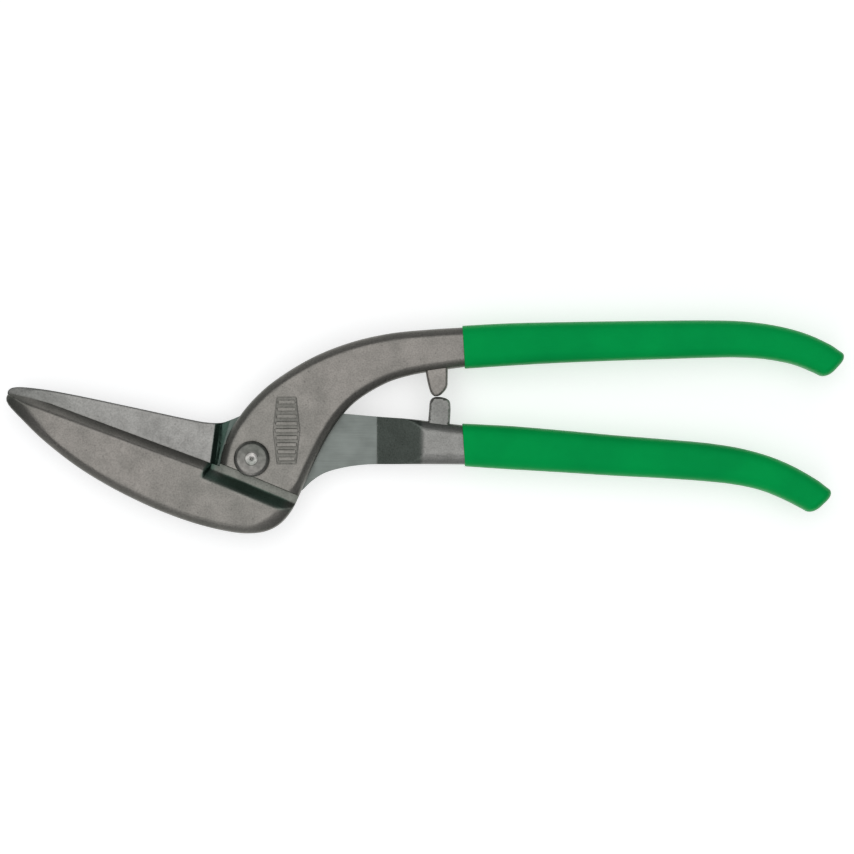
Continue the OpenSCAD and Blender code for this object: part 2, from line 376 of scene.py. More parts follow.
def keep_apart(groups: Sequence[tuple[np.ndarray, float]], fixed: np.ndarray) -> np.ndarray:
    """Thins groups of points, so that the later ones keep clear of the earlier ones.

    Args:
        groups: points with the distance that each group keeps.
        fixed: points that always stay.

    Returns:
        The fixed points followed by those that were kept.
    """
    cell = 0.5
    grid: dict[tuple[int, int], list[tuple[float, float]]] = {}
    kept = []

    def near(x: float, y: float, gap: float) -> bool:
        """Tells whether a kept point lies too close.

        Args:
            x: the place across.
            y: the place up.
            gap: the distance to keep.

        Returns:
            Whether one does.
        """
        i, j = int(x // cell), int(y // cell)
        return any(
            (x - u) ** 2 + (y - v) ** 2 < gap * gap
            for di in (-1, 0, 1) for dj in (-1, 0, 1)
            for u, v in grid.get((i + di, j + dj), ())
        )

    for x, y in fixed:
        grid.setdefault((int(x // cell), int(y // cell)), []).append((x, y))
    for points, gap in groups:
        for x, y in points:
            if not near(x, y, gap):
                grid.setdefault((int(x // cell), int(y // cell)), []).append((x, y))
                kept.append((x, y))
    return np.vstack([fixed, np.array(kept)])


@dataclass
class Plate:
    """A forging's body: an outline in plan between a top and a bottom height."""

    outline: np.ndarray
    top: Heights
    bottom: Heights
    stain_and_shade: Callable[[np.ndarray], np.ndarray] | None = None
    rows: list[np.ndarray] = field(default_factory=list)
    fine: list[np.ndarray] = field(default_factory=list)
    hole: np.ndarray | None = None
    pitch: float = 0.95
    rings: tuple[float, ...] = (0.1, 0.25, 0.5, 0.85, 1.3, 1.7, 2.0, 2.3, 2.7, 3.2)

    def points(self) -> tuple[np.ndarray, int, int]:
        """Chooses the mesh's points in plan.

        Returns:
            The points, with the outline first and the hole next, and how many of each there are.
        """
        edge = densify(self.outline, 0.8, closed=True)
        hole = np.empty((0, 2)) if self.hole is None else self.hole
        loop = np.vstack([edge, edge[:1]])
        inward = normals(loop)[:-1]
        rings = []
        for d in self.rings:
            ring = edge + inward * d
            rings.append(ring[inside(ring, edge) & (distance_to(ring, loop) > d * 0.97)])
        rows = [densify(r, 0.6) for r in self.rows]
        low, high = edge.min(axis=0), edge.max(axis=0)
        nx, ny = ((high - low) / self.pitch).astype(int)
        gx, gy = np.meshgrid(np.arange(nx + 2), np.arange(ny + 3))
        grid = low + np.column_stack([
            ((gx + 0.5 * (gy % 2)) * self.pitch).ravel(), (gy * self.pitch * math.sqrt(0.75)).ravel()
        ])
        clear = []
        for points, gap in [*((r, 0.13) for r in rows), *((f, 0.2) for f in self.fine),
                            *((r, 0.16) for r in rings), (grid, 0.45)]:
            keep = inside(points, edge) & (distance_to(points, loop) > 0.08)
            if len(hole):
                keep &= np.linalg.norm(points, axis=1) > np.linalg.norm(hole[0]) + 0.1
            clear.append((points[keep], gap))
        return keep_apart(clear, np.vstack([edge, hole])), len(edge), len(hole)

    def shell(self, zone: Callable[[np.ndarray, bool], np.ndarray]) -> tuple:
        """Makes the closed shell.

        Args:
            zone: gives the material place of faces from their centres and whether they face up.

        Returns:
            Vertices, faces, the material place of each face and the stain and painted shade of each vertex.
        """
        xy, n_edge, n_hole = self.points()
        ring = [(i, (i + 1) % n_edge) for i in range(n_edge)]
        bore = [(n_edge + i, n_edge + (i + 1) % n_hole) for i in range(n_hole)]
        verts, _, tris, *_ = delaunay_2d_cdt([Vector(p) for p in xy], ring + bore, [], 1, 1e-6)
        if len(verts) != len(xy):
            raise ValueError("the outline's points cross each other")
        tri = np.array(tris)
        centre = xy[tri].mean(axis=1)
        if n_hole:
            keep = ~inside(centre, xy[n_edge:n_edge + n_hole])
            tri, centre = tri[keep], centre[keep]
        n = len(xy)
        shell = np.vstack([np.column_stack([xy, self.top(xy)]), np.column_stack([xy, self.bottom(xy)])])
        faces = [tuple(t) for t in tri] + [tuple(n + t[::-1]) for t in tri]
        walls = [(b, a, a + n, b + n) for a, b in ring] + [(a, b, b + n, a + n) for a, b in bore]
        zones = [*zone(centre, True), *zone(centre, False), *[Zone.FORGED.value] * len(walls)]
        stain_and_shade = np.ones((2 * n, 3))
        if self.stain_and_shade is not None:
            stain_and_shade[:n] = self.stain_and_shade(xy)
        return shell, faces + walls, zones, stain_and_shade


def lathe(profile: Points, count: int = 128, wobble: Callable | None = None) -> tuple[np.ndarray, list]:
    """Turns a profile about the pivot's axis.

    Args:
        profile: radius and height of each point. A radius of 0 at either end closes the shell there.
        count: points round the circle.
        wobble: gives the radius to use from the angles and the profile's radius and height.

    Returns:
        Vertices and faces, closed at the axis or joined from the last point to the first.
    """
    a = np.linspace(0, 2 * math.pi, count, endpoint=False)
    verts, rings = [], []
    for r, z in profile:
        if r < 1e-6:
            rings.append([len(verts)])
            verts.append((0, 0, z))
            continue
        radius = np.full(count, r) if wobble is None else wobble(a, r, z)
        rings.append(list(range(len(verts), len(verts) + count)))
        verts += list(zip(radius * np.cos(a), radius * np.sin(a), np.full(count, z), strict=True))
    pairs = list(zip(rings[:-1], rings[1:], strict=True))
    if len(rings[0]) > 1 and len(rings[-1]) > 1:
        pairs.append((rings[-1], rings[0]))
    faces = []
    for low, high in pairs:
        for i in range(count):
            j = (i + 1) % count
            quad = [low[i % len(low)], low[j % len(low)], high[j % len(high)], high[i % len(high)]]
            faces.append(tuple(dict.fromkeys(quad)))
    return np.array(verts), faces


# --- finishes -------------------------------------------------------------------------------


def linear(hex_colour: str) -> tuple[float, float, float, float]:
    """Turns an sRGB hex colour into linear light.

    Args:
        hex_colour: the colour, such as #8a8a8a.

    Returns:
        Red, green, blue and an opacity of 1.
    """
    out = []
    for i in (1, 3, 5):
        c = int(hex_colour[i:i + 2], 16) / 255
        out.append(c / 12.92 if c <= 0.04045 else ((c + 0.055) / 1.055) ** 2.4)
    return (*out, 1.0)


def per_mm(size: float) -> float:
    """Gives the scale of a pattern whose repeats are that many millimetres apart."""
    return 1 / (size * MM)


def add(tree: bpy.types.NodeTree, kind: str, settings: dict | None = None, **links) -> bpy.types.Node:
    """Adds a node with its settings and links.

    Args:
        tree: the material's node tree.
        kind: the node's type.
        settings: values by socket name or number, or by the node's own property name.
        links: the output that feeds each input socket, with _ for a space in its name.

    Returns:
        The node.
    """
    node = tree.nodes.new(kind)
    for key, value in (settings or {}).items():
        if isinstance(key, str) and hasattr(node, key):
            setattr(node, key, value)
        else:
            node.inputs[key].default_value = value
    for key, source in links.items():
        name = int(key[1:]) if key[0] == "i" and key[1:].isdigit() else key.replace("_", " ")
        tree.links.new(source, node.inputs[name])
    return node


def stained_and_shaded(tree: bpy.types.NodeTree, tint: bpy.types.NodeSocket) -> bpy.types.NodeSocket:
    """Lays the stain and painted shade that the mesh carries over a metal's colour.

    Args:
        tree: the material's node tree.
        tint: the clean metal's colour.

    Returns:
        The colour with the stain on it.
    """
    stain_and_shade = add(tree, "ShaderNodeAttribute", {"attribute_name": STAIN_AND_SHADE}).outputs["Color"]
    return add(tree, VECTOR, {"operation": "MULTIPLY"}, i0=tint, i1=stain_and_shade).outputs[0]


def stain_and_shade_of(scale_and_shade: np.ndarray, oil_and_green_shade: np.ndarray) -> np.ndarray:
    """Works out the stain and painted shade from how dark and how green each point is.

    Args:
        scale_and_shade: how much near black darkening, forge scale and painted shade, from 0 to 1.
        oil_and_green_shade: how much green-brown darkening, cutting oil and painted shade, from 0 to 1.

    Returns:
        The share of red, green and blue that gets through, as an (n, 3) array.
    """
    dark = 1 - np.clip(scale_and_shade, 0, 1)[:, None] * (1 - np.array([0.21, 0.27, 0.24]))
    return dark * (1 - np.clip(oil_and_green_shade, 0, 1)[:, None] * (1 - np.array([0.37, 0.66, 0.57])))


@dataclass(frozen=True)
class Finish:
    """What every finish shares: a named material with one surface shader."""

    name: str

    def start(self) -> tuple[bpy.types.Material, bpy.types.NodeTree, bpy.types.Node]:
        """Makes the material and gives it, its tree and its surface shader."""
        material = bpy.data.materials.new(self.name)
        material.use_nodes = True
        tree = material.node_tree
        return material, tree, tree.nodes["Principled BSDF"]

    @staticmethod
    def vary(tree: bpy.types.NodeTree, noise: bpy.types.NodeSocket, low: float,
             high: float) -> bpy.types.NodeSocket:
        """Turns the useful middle of a noise into a measure between two values.

        Args:
            tree: the material's node tree.
            noise: the noise's strength.
            low: the value where the noise is weak.
            high: the value where the noise is strong.

        Returns:
            The measure, held at its ends.
        """
        return add(tree, MAP, {1: 0.3, 2: 0.7, 3: low, 4: high}, i0=noise).outputs[0]

    @staticmethod
    def feed(tree: bpy.types.NodeTree, colour: bpy.types.NodeSocket | None, roughness: bpy.types.NodeSocket,
             normal: bpy.types.NodeSocket) -> None:
        """Links what every finish varies to the surface shader.

        Args:
            tree: the material's node tree.
            colour: its colour, or none where it is constant.
            roughness: its roughness.
            normal: its bumps.
        """
        skin = tree.nodes["Principled BSDF"]
        for name, source in (("Base Color", colour), ("Roughness", roughness), ("Normal", normal)):
            if source is not None:
                tree.links.new(source, skin.inputs[name])


@dataclass(frozen=True)
class BlastedForging(Finish):
    """Drop-forged carbon steel, shot-blasted and oiled: a dull grey skin with fine dimples.

    The blast's dimples are really about 0.3 mm across. They are drawn at 0.6 mm so that they show.
    """

    light: str = "#85827f"
    dark: str = "#7a7774"
    roughness: float = 0.44
    dimple: float = 0.6
    swell: float = 9.0
    depth: float = 0.05

    def material(self) -> bpy.types.Material:
        """Makes the material.

        Returns:
            The material, not yet on any piece.
        """
        material, tree, skin = self.start()
        place = add(tree, "ShaderNodeTexCoord").outputs["Object"]
        grain = add(tree, "ShaderNodeTexNoise", {"Scale": per_mm(self.dimple), "Detail": 3.0}, Vector=place)
        patch = add(tree, "ShaderNodeTexNoise",
                    {"Scale": per_mm(self.swell), "Detail": 5.0, "Roughness": 0.62}, Vector=place)
        pits = add(tree, "ShaderNodeTexVoronoi", {"Scale": per_mm(2.6), "Randomness": 1.0}, Vector=place)
        edge = add(tree, "ShaderNodeNewGeometry").outputs["Pointiness"]
        blend = add(tree, MAP, {1: 0.34, 2: 0.62, 3: 0.0, 4: 1.0}, i0=patch.outputs[0]).outputs[0]
        tone = add(tree, MIX, {"data_type": "RGBA", 6: linear(self.dark), 7: linear(self.light)}, i0=blend)
        # oil and scale that stay in the deepest dimples
        pit = add(tree, MAP, {1: 0.05, 2: 0.16, 3: 0.72, 4: 1.0}, i0=pits.outputs["Distance"]).outputs[0]
        speck = add(tree, MAP, {1: 0.3, 2: 0.62, 3: 0.82, 4: 1.06}, i0=grain.outputs[0]).outputs[0]
        shade = add(tree, MATH, {"operation": "MULTIPLY"}, i0=pit, i1=speck).outputs[0]
        # corners that handling has rubbed brighter, and hollows that hold oil
        rub = add(tree, MAP, {1: 0.44, 2: 0.58, 3: 0.82, 4: 1.1}, i0=edge).outputs[0]
        shade = add(tree, MATH, {"operation": "MULTIPLY"}, i0=shade, i1=rub).outputs[0]
        tint = add(tree, VECTOR, {"operation": "SCALE"}, i0=tone.outputs[2], Scale=shade).outputs[0]
        swell = add(tree, "ShaderNodeBump", {"Strength": 0.5, "Distance": 0.14 * MM}, Height=patch.outputs[0])
        dimples = add(tree, "ShaderNodeBump", {"Strength": 0.8, "Distance": self.depth * MM},
                      Height=grain.outputs[0], Normal=swell.outputs[0])
        hollow = add(tree, "ShaderNodeBump", {"Strength": 0.6, "Distance": 0.08 * MM},
                     Height=pit, Normal=dimples.outputs[0])
        skin.inputs["Metallic"].default_value = 1.0
        rough = self.vary(tree, patch.outputs[0], self.roughness + 0.07, self.roughness - 0.06)
        self.feed(tree, stained_and_shaded(tree, tint), rough, hollow.outputs[0])
        return material


@dataclass(frozen=True)
class GroundSteel(Finish):
    """Surface-ground tool steel: smoother and brighter, with fine lines left by the wheel.

    The wheel's lines are about 0.05 mm apart. They are drawn at 0.35 mm so that they show.
    """

    colour: str = "#8c8a87"
    roughness: float = 0.34
    angle: float = 0.0
    line: float = 0.35

    def material(self) -> bpy.types.Material:
        """Makes the material.

        Returns:
            The material, not yet on any piece.
        """
        material, tree, skin = self.start()
        place = add(tree, "ShaderNodeTexCoord").outputs["Object"]
        turned = add(tree, "ShaderNodeMapping", {"Rotation": (0, 0, math.radians(self.angle)),
                                                 "Scale": (0.03, 1, 1)}, Vector=place)
        lines = add(tree, "ShaderNodeTexNoise",
                    {"Scale": per_mm(self.line), "Detail": 4.0, "Roughness": 0.7}, Vector=turned.outputs[0])
        patch = add(tree, "ShaderNodeTexNoise", {"Scale": per_mm(7), "Detail": 4.0}, Vector=place)
        shade = self.vary(tree, lines.outputs[0], 0.9, 1.06)
        film = self.vary(tree, patch.outputs[0], 0.92, 1.04)
        shade = add(tree, MATH, {"operation": "MULTIPLY"}, i0=shade, i1=film).outputs[0]
        tint = add(tree, VECTOR, {"operation": "SCALE", 0: linear(self.colour)[:3]}, Scale=shade)
        bump = add(tree, "ShaderNodeBump", {"Strength": 0.5, "Distance": 0.02 * MM}, Height=lines.outputs[0])
        skin.inputs["Metallic"].default_value = 1.0
        rough = self.vary(tree, patch.outputs[0], self.roughness + 0.06, self.roughness - 0.04)
        self.feed(tree, stained_and_shaded(tree, tint.outputs[0]), rough, bump.outputs[0])
        return material


@dataclass(frozen=True)
class TurnedSteel(Finish):
    """Lathe-turned or plated steel hardware: rings from the tool about the pivot's axis, a little oily."""

    colour: str = "#a09d99"
    roughness: float = 0.34
    ring: float = 0.4
    centre: tuple[float, float] = (0, 0)

    def material(self) -> bpy.types.Material:
        """Makes the material.

        Returns:
            The material, not yet on any piece.
        """
        material, tree, skin = self.start()
        place = add(tree, "ShaderNodeTexCoord").outputs["Object"]
        shifted = add(tree, "ShaderNodeMapping", {"Location": (-self.centre[0], -self.centre[1], 0)},
                      Vector=place)
        rings = add(tree, "ShaderNodeTexWave", {
            "wave_type": "RINGS", "rings_direction": "Z", "Scale": per_mm(self.ring) / 6.28,
            "Distortion": 1.2, "Detail": 2.0, "Detail Scale": 0.6,
        }, Vector=shifted.outputs[0])
        patch = add(tree, "ShaderNodeTexNoise", {"Scale": per_mm(1.6), "Detail": 5.0}, Vector=place)
        shade = self.vary(tree, patch.outputs[0], 0.74, 1.1)
        tint = add(tree, VECTOR, {"operation": "SCALE", 0: linear(self.colour)[:3]}, Scale=shade)
        bump = add(tree, "ShaderNodeBump", {"Strength": 0.35, "Distance": 0.03 * MM}, Height=rings.outputs[0])
        skin.inputs["Metallic"].default_value = 1.0
        rough = self.vary(tree, patch.outputs[0], self.roughness + 0.08, self.roughness - 0.04)
        self.feed(tree, stained_and_shaded(tree, tint.outputs[0]), rough, bump.outputs[0])
        return material


@dataclass(frozen=True)
class DippedVinyl(Finish):
    """Plasticised PVC dip: an even green skin with a soft gloss and a faint orange peel."""

    colour: str = "#009b48"
    deep: str = "#008f43"
    roughness: float = 0.38

    def material(self) -> bpy.types.Material:
        """Makes the material.

        Returns:
            The material, not yet on any piece.
        """
        material, tree, skin = self.start()
        place = add(tree, "ShaderNodeTexCoord").outputs["Object"]
        drift = add(tree, "ShaderNodeTexNoise", {"Scale": per_mm(22), "Detail": 3.0}, Vector=place)
        peel = add(tree, "ShaderNodeTexNoise", {"Scale": per_mm(1.5), "Detail": 2.0}, Vector=place)
        rub = add(tree, "ShaderNodeTexNoise", {"Scale": per_mm(4), "Detail": 6.0, "Roughness": 0.7},
                  Vector=place)
        blend = add(tree, MAP, {1: 0.3, 2: 0.66, 3: 0.0, 4: 1.0}, i0=drift.outputs[0]).outputs[0]
        tint = add(tree, MIX, {"data_type": "RGBA", 6: linear(self.deep), 7: linear(self.colour)}, i0=blend)
        rough = add(tree, MAP, {1: 0.35, 2: 0.7, 3: self.roughness - 0.03, 4: self.roughness + 0.14},
                    i0=rub.outputs[0])
        skin.inputs["IOR"].default_value = 1.53
        skin.inputs["Specular IOR Level"].default_value = 0.3
        skin.inputs["Specular Tint"].default_value = linear("#40ff9a")
        skin.inputs["Subsurface Weight"].default_value = 0.06
        skin.inputs["Subsurface Radius"].default_value = (0.0004, 0.0012, 0.0006)
        skin.inputs["Subsurface Scale"].default_value = 1.0
        wave = add(tree, "ShaderNodeBump", {"Strength": 0.4, "Distance": 0.5 * MM}, Height=drift.outputs[0])
        bump = add(tree, "ShaderNodeBump", {"Strength": 0.25, "Distance": 0.05 * MM}, Height=peel.outputs[0],
                   Normal=wave.outputs[0])
        self.feed(tree, tint.outputs[2], rough.outputs[0], bump.outputs[0])
        return material


@dataclass(frozen=True)
class Moulded(Finish):
    """Moulded plastic, such as the nylon ring and the opal floor: matt, with a faint unevenness."""

    colour: str = "#d9dad2"
    roughness: float = 0.5
    grain: float = 1.0

    def material(self) -> bpy.types.Material:
        """Makes the material.

        Returns:
            The material, not yet on any piece.
        """
        material, tree, skin = self.start()
        place = add(tree, "ShaderNodeTexCoord").outputs["Object"]
        noise = add(tree, "ShaderNodeTexNoise", {"Scale": per_mm(self.grain), "Detail": 3.0}, Vector=place)
        skin.inputs["Base Color"].default_value = linear(self.colour)
        rough = self.vary(tree, noise.outputs[0], self.roughness, self.roughness + 0.08)
        bump = add(tree, "ShaderNodeBump", {"Strength": 0.2, "Distance": 0.02 * MM}, Height=noise.outputs[0])
        self.feed(tree, None, rough, bump.outputs[0])
        return material


def dress(obj: bpy.types.Object, *finishes: Finish) -> None:
    """Gives a piece its materials, in the order of its zones."""
    for finish in finishes:
        obj.data.materials.append(finish.material())


# --- sub-assemblies -------------------------------------------------------------------------


@dataclass
class HandleBar:
    """A forged handle bar and the dip on it, as stations of x, y and the dip's width."""

    stations: tuple[tuple[float, float, float], ...]
    dip: float = 0.8
    cap: float = 2.8
    slant: float = 1.3
    mouth: float = 0.0

    def centre(self) -> tuple[np.ndarray, np.ndarray]:
        """Gives the bar's centre line and its half width, densely."""
        rows = np.array(self.stations)
        line = smooth_path(rows[:, :2], 8)
        width = np.interp(np.arange(len(line)) / 8, np.arange(len(rows)), rows[:, 2])
        return line, width / 2

    def edge(self, side: int, grow: float) -> np.ndarray:
        """Gives one of the bar's edges.

        Args:
            side: 1 for the upper edge, -1 for the lower.
            grow: how far it is moved out.

        Returns:
            The edge's points, from the jaws to the end.
        """
        line, half = self.centre()
        return line + side * normals(line) * (half + grow)[:, None]

    def end(self, grow: float, cap: float) -> np.ndarray:
        """Gives the bar's rounded end.

        Args:
            grow: how far its sides are moved out.
            cap: how far it bulges.

        Returns:
            Its points, from the lower edge to the upper edge.
        """
        line, half = self.centre()
        way = (line[-1] - line[-2]) / np.linalg.norm(line[-1] - line[-2])
        across = np.array([-way[1], way[0]])
        a = np.radians(np.arange(-78, 79, 6))[:, None]
        reach = cap * np.cos(a) + self.slant * (1 + np.sin(a))
        return line[-1] + way * reach + across * (half[-1] + grow) * np.sin(a)


UPPER_BAR = HandleBar((
    (76, 40.0, 15.7), (93, 41.0, 15.4), (111, 41.7, 14.8), (129, 42.2, 14.3), (147, 42.6, 13.9),
    (163, 42.9, 13.5), (175, 42.8, 13.1), (186, 41.7, 12.6), (196, 39.4, 12.1), (203, 36.5, 11.8),
    (206.2, 34.7, 11.3),
))
LOWER_BAR = HandleBar((
    (76, 4.9, 15.6), (93, 3.9, 15.8), (111, 2.6, 15.3), (129, 1.2, 14.7), (147, 0, 14.1),
    (163, -1.3, 13.8), (174, -2.8, 13.3), (184, -5.3, 12.7), (192, -8.6, 12.4), (198.5, -12.1, 11.9),
    (201.4, -14, 11.4),
), mouth=0.7)


@dataclass
class Forging:
    """What both levers share: a body edge that is rounded over, a lap, a swelling handle and a stop."""

    place: Place
    edge_w: float = 3.2
    fall_h: float = 2.5
    lap_d: float = 1.6
    lap_gap: float = 0.1
    neck_x: float = 30.0
    ramp_x: tuple[float, float] = (44.5, 62)
    stop_h: float = 3.0
    stop_round: float = 1.1
    bore_r: float = 4.55

    def drop(self, d: np.ndarray, width: float | np.ndarray) -> np.ndarray:
        """Gives how far a face falls at a distance from the forging's edge.

        Args:
            d: distances from the edge.
            width: how wide the fall is. A wide fall is a gentle one, of the same height.

        Returns:
            The fall: a slope that sets in gently and grows steep at the edge itself.
        """
        return self.fall_h * np.clip(1 - d / width, 0, 1) ** 1.5 + 0.9 * np.clip(1 - d / 0.5, 0, 1) ** 2

    def stop(self, outline: Points, scale_and_shade: float = 0.0) -> Plate:
        """Makes the lug that meets the other handle's lug when the blades are closed.

        Args:
            outline: the points round it.
            scale_and_shade: how much forge scale is left on it.

        Returns:
            The lug, between two faces that are rounded over.
        """
        path = smooth_path(outline, 10)

        def half(xy: np.ndarray) -> np.ndarray:
            """Gives half the lug's thickness, rounded over at its edge."""
            r = self.stop_round
            d = np.clip(distance_to(xy, path), 0, r)
            return self.stop_h - r + np.sqrt(np.maximum(r * r - (r - d) ** 2, 0))

        def stain_and_shade(xy: np.ndarray) -> np.ndarray:
            """Gives an even stain of forge scale."""
            return stain_and_shade_of(np.full(len(xy), scale_and_shade), np.zeros(len(xy)))

        rings = (0.06, 0.15, 0.3, 0.5, 0.75, 1.0, 1.3)
        return Plate(path, half, lambda xy: -half(xy), stain_and_shade, pitch=0.6, rings=rings)

    def cross_rows(self, xs: Sequence[float], low: float, high: float) -> list[np.ndarray]:
        """Gives rows of points right across a lever, from low to high, at these places along it."""
        return [np.array([(x, low), (x, high)]) for x in xs]


@dataclass
class LowerJawLever(Forging):
    """The front forging: deep lower jaw, boss over the pivot, and the upper handle bar."""

    cut: Line = Line(20.3, 6.7)
    channel: Line = Line(22.5, 5.75)
    bevel_w: float = 3.0
    bevel_end: float = -13.2
    land: float = 0.5
    jaw_fall: float = 0.7
    floor_w: float = 3.3
    slope_w: float = 4.2
    floor_h: float = 1.0
    wall_steep: float = 14.0
    end_steep: float = 3.0
    end_at: float = -12.7
    jaw_step_x: float = -12.0
    # the struck panel's middle, width and height, how much wider its middle is, and its depth
    panel: tuple[float, float, float, float] = (12.4, 10.1, 7.0, 22.9)
    panel_bulge: float = 1.3
    panel_depth: float = 0.34
    ribs: int = 9

    tip: Points = (
        (-72.8, 19.8), (-79, 21.5), (-84, 22.7), (-87, 23.2), (-87.9, 22.2), (-88, 20.2), (-87.2, 18.8),
        (-84.5, 15.8),
    )
    belly: Points = (
        (-84.5, 15.8), (-75.5, 7), (-61.2, -4), (-43.3, -14.1), (-25.5, -21.6), (-11.2, -25.6),
        (-2.2, -26.8), (4.5, -26.1), (9.5, -23.7), (13.8, -18.9), (17, -12.5), (20.9, -3.8), (26.6, 7.5),
        (31.3, 14.6), (36.5, 20.1), (42.4, 24.2), (49.5, 27.8), (57, 30), (65, 31.4),
    )
    back_edge: Points = (
        (65, 46.4), (49.5, 44.9), (35.3, 41.7), (21, 36), (6.7, 27), (-0.5, 20.3), (-4, 16),
        (-6.6, 12.3), (-8.6, 8.7), (-10, 5.4), (-10.8, 2.4), (-11.4, -0.3), (-11.8, -2.8),
    )
    lug: Points = (
        (61.9, 34), (62.2, 30.5), (63, 26.5), (64, 23.5), (65.2, 22.45), (66.9, 22.6), (68.6, 23.9),
        (69.8, 25.8), (70, 29), (70, 34),
    )

    def __post_init__(self) -> None:
        """Works out the outline and the edge that is rounded over."""
        bar, skin = UPPER_BAR, UPPER_BAR.dip
        lower, upper = bar.edge(-1, -skin), bar.edge(1, -skin)[::-1]
        self.edge = np.vstack([
            smooth_path([*self.belly, lower[0]])[:-1], lower, bar.end(-skin, bar.cap - skin), upper,
            smooth_path([upper[-1], *self.back_edge])[1:],
        ])
        self.outline = np.vstack([smooth_path(self.tip)[:-1], self.edge])
        self.body_edge = np.vstack([smooth_path(self.tip)[40:-1], self.edge])

    def top(self, xy: np.ndarray) -> np.ndarray:
        """Gives the front face's height: jaw, bevel, sheet channel, boss, panel and handle.

        Args:
            xy: points in plan.

        Returns:
            The height of each.
        """
        x = xy[:, 0]
        face = self.place.face - self.jaw_fall * ease(-x, 20, 88)
        # the bevel that carries the cutting edge
        cut, along = self.cut.below(xy), self.cut.along(xy)
        bevel = self.land + (face - self.land) * cut / self.bevel_w
        bevel += 2.5 * np.maximum(along - self.bevel_end, 0)
        z = np.where(along < -11, soft_min(face, bevel, 1.1), face)
        # the channel that lets the cut sheet pass under the boss
        s = self.channel.below(xy)
        wall = self.floor_h + self.wall_steep * (0.17 - s)
        slope = self.floor_h + (self.place.face - self.floor_h) * (s - self.floor_w) / self.slope_w
        end = self.floor_h + self.end_steep * (self.end_at - self.channel.along(xy))
        trough = soft_max(soft_max(wall, slope, 0.5), end, 0.9)
        z = soft_min(z, soft_max(np.full_like(z, self.floor_h), trough, 0.35), 0.3)
        # the panel struck into the boss, a lozenge with plain ribs
        px, py, pw, ph = self.panel
        u, v = xy[:, 0] - px, xy[:, 1] - py
        wide = pw / 2 + self.panel_bulge - self.panel_bulge * np.abs(v) / (ph / 2)
        sink = 1 - ease(np.abs(u), wide - 0.3, wide + 0.3)
        sink *= 1 - ease(np.abs(v), ph / 2 + 0.2, ph / 2 + 0.9)
        wave = 0.5 + 0.5 * np.cos(v * 2 * math.pi * self.ribs / ph)
        rib = ease(wave, 0.3, 0.6) * (1 - ease(np.abs(u), wide - 0.9, wide - 0.5))
        z = z - self.panel_depth * sink * (1 - 0.85 * rib)
        d = distance_to(xy, self.body_edge)
        # the edge is rounded wider at the nose, and widest on the shoulder below the neck
        shoulder = ease(x, -2, 9) * (1 - ease(xy[:, 1], -15, -8))
        width = self.edge_w + 3.0 * (1 - ease(x, -87, -69)) + 2.6 * shoulder
        fall = self.drop(d, width)
        return np.maximum(soft_min(z, face - fall, 0.3), self.land * 0.9)

    def bottom(self, xy: np.ndarray) -> np.ndarray:
        """Gives the back face's height: ground shear face, lap face, ramp and handle.

        Args:
            xy: points in plan.

        Returns:
            The height of each.
        """
        x = xy[:, 0]
        shear, lap = self.lap_gap / 2, self.lap_gap / 2 - self.lap_d
        z = shear + (lap - shear) * np.clip((x - self.jaw_step_x + 0.12) / 0.24, 0, 1)
        run = (x - self.ramp_x[0]) / (self.ramp_x[1] - self.ramp_x[0])
        slope = lap + (-self.place.back - lap) * run
        past_neck = x > self.neck_x
        ramp = soft_max(np.full_like(x, -self.place.back), soft_min(z, slope, 0.25), 0.4)
        z = np.where(past_neck, ramp, z)
        d = distance_to(xy, self.body_edge)
        return np.where(past_neck, soft_max(z, -self.place.back + self.drop(d, self.edge_w), 0.3), z)

    def zone(self, centre: np.ndarray, up: bool) -> np.ndarray:
        """Tells which faces are ground: the shear face and the lap face behind.

        Args:
            centre: the faces' centres in plan.
            up: whether they face up.

        Returns:
            The material place of each.
        """
        if not up:
            return np.where(centre[:, 0] < self.ramp_x[0], Zone.GROUND.value, Zone.FORGED.value)
        return np.full(len(centre), Zone.FORGED.value)

    def stain_and_shade(self, xy: np.ndarray) -> np.ndarray:
        """Gives the front face's painted shade, dark and tinted green: most in the sheet channel, some on the
        bevel, nose and edges; the panel's grooves are darker too, and the boss a faint green near the pivot.

        Args:
            xy: points in plan.

        Returns:
            The share of each colour that gets through at each point.
        """
        x, y = xy.T
        s, u = self.channel.below(xy), self.channel.along(xy)
        cut, along = self.cut.below(xy), self.cut.along(xy)
        d = distance_to(xy, self.body_edge)
        # painted shade, dark and tinted green: the channel's slope, its end and its floor, the bevel and the
        # nose
        start = ease(u, -15.2, -13.8)
        slope = ease(s, 2.6, 3.5) * (1 - ease(s, 6.0, 8.2)) * start * (0.3 + 0.7 * ease(d, 0.8, 5.0))
        end = ease(s, -0.3, 0.3) * (1 - ease(s, 4.5, 8.0)) * start * (1 - ease(u, -13.4, -8.5))
        floor = 0.25 * ease(s, 0, 0.3) * ease(u, -14, -12) * (1 - ease(s, 3.3, 4))
        bevel = 0.38 * (1 - ease(cut, 1.0, 3.6)) * (1 - ease(along, -15, -13)) * ease(x, -90, -80)
        nose = 0.66 * (1 - ease(x, -88, -71))
        # the rounded edge gets painted shade, most where the boss rises out of the joint
        edge = (0.36 + 0.2 * (1 - ease(np.hypot(x + 6, y - 12), 8, 24))) * (1 - ease(d, 0.4, 4.0))
        px, py, pw, ph = self.panel
        struck = (np.abs(x - px) < pw / 2 + 0.6) & (np.abs(y - py) < ph / 2 + 0.6)
        panel = 0.25 * struck * ease(self.place.face - self.top(xy), 0.08, 0.3)
        scale_and_shade = np.maximum.reduce([0.06 * slope, 0.6 * end, bevel, nose, edge, panel])
        oil_and_green_shade = np.maximum.reduce([0.94 * slope, end, floor, 0.06 * (1 - ease(np.hypot(x, y), 12, 45))])
        return stain_and_shade_of(scale_and_shade, oil_and_green_shade)

